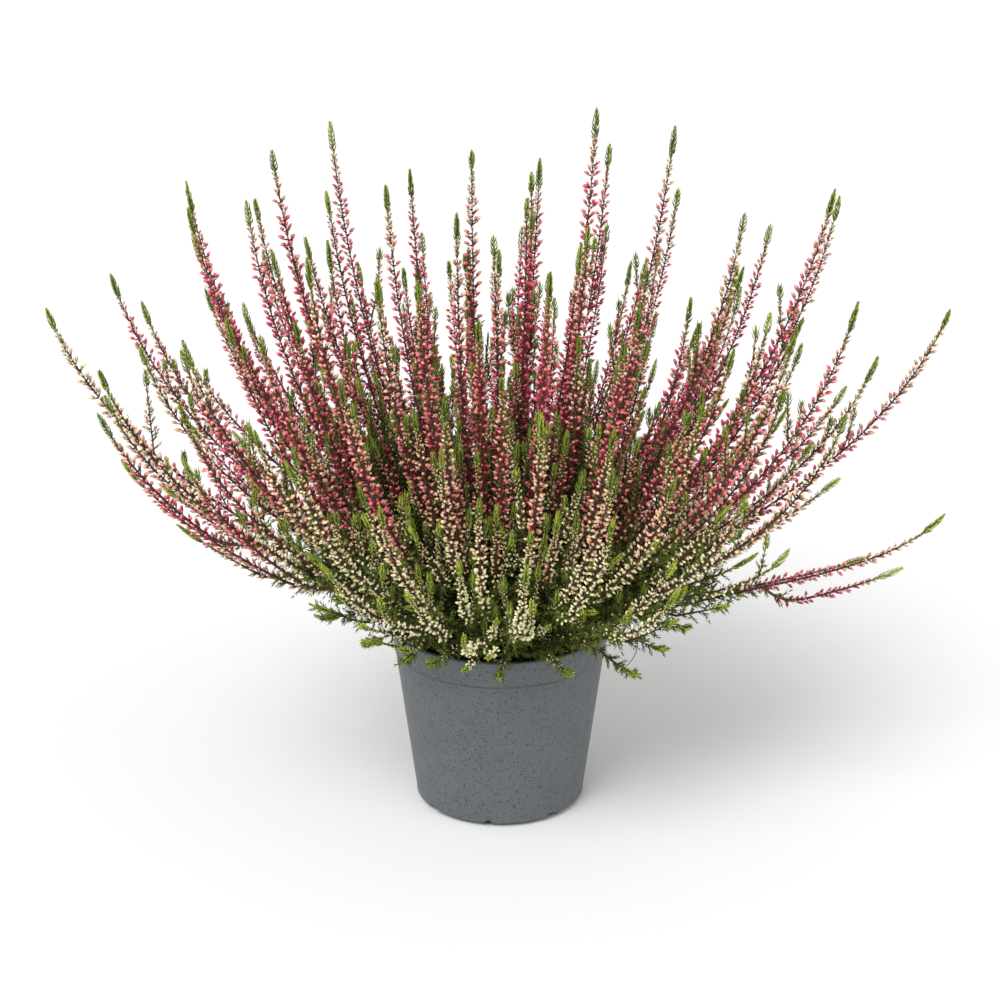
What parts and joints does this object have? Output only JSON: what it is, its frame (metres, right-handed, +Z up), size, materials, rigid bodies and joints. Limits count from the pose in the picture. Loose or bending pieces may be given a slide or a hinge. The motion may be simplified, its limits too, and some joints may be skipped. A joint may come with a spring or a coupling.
{
  "type": "potted heather",
  "caption": "Bushy heather in bud, its sprays of upright flowering spikes rooted in peat in a round plastic grower's pot.",
  "frame": {"origin": "middle of the pot's flat underside", "axes": "+Z up, +X along the plant's widest spread, -Y towards the front of the plant"},
  "size_m": [0.4356, 0.3093, 0.351],
  "materials": {
    "pot_plastic": "matte blue-grey, finely speckled",
    "peat": "dark crumbly peat",
    "spray_crimson": "crimson buds on dark red stems",
    "spray_pink": "salmon pink buds with green tips",
    "spray_cream": "cream buds with green tips"
  },
  "bodies": {
    "root": {"pot": "pot_plastic", "peat": "peat", "spray_01": "spray_crimson", "spray_02": "spray_crimson", "spray_03": "spray_crimson", "spray_04": "spray_crimson", "spray_05": "spray_pink", "spray_06": "spray_pink", "spray_07": "spray_crimson", "spray_08": "spray_pink", "spray_09": "spray_crimson", "spray_10": "spray_crimson", "spray_11": "spray_pink", "spray_12": "spray_crimson", "spray_13": "spray_pink", "spray_14": "spray_pink", "spray_15": "spray_crimson", "spray_16": "spray_cream", "spray_17": "spray_crimson", "spray_18": "spray_pink", "spray_19": "spray_cream", "spray_20": "spray_crimson", "spray_21": "spray_cream", "spray_22": "spray_crimson", "spray_23": "spray_crimson", "spray_24": "spray_cream"}
  },
  "joints": []
}
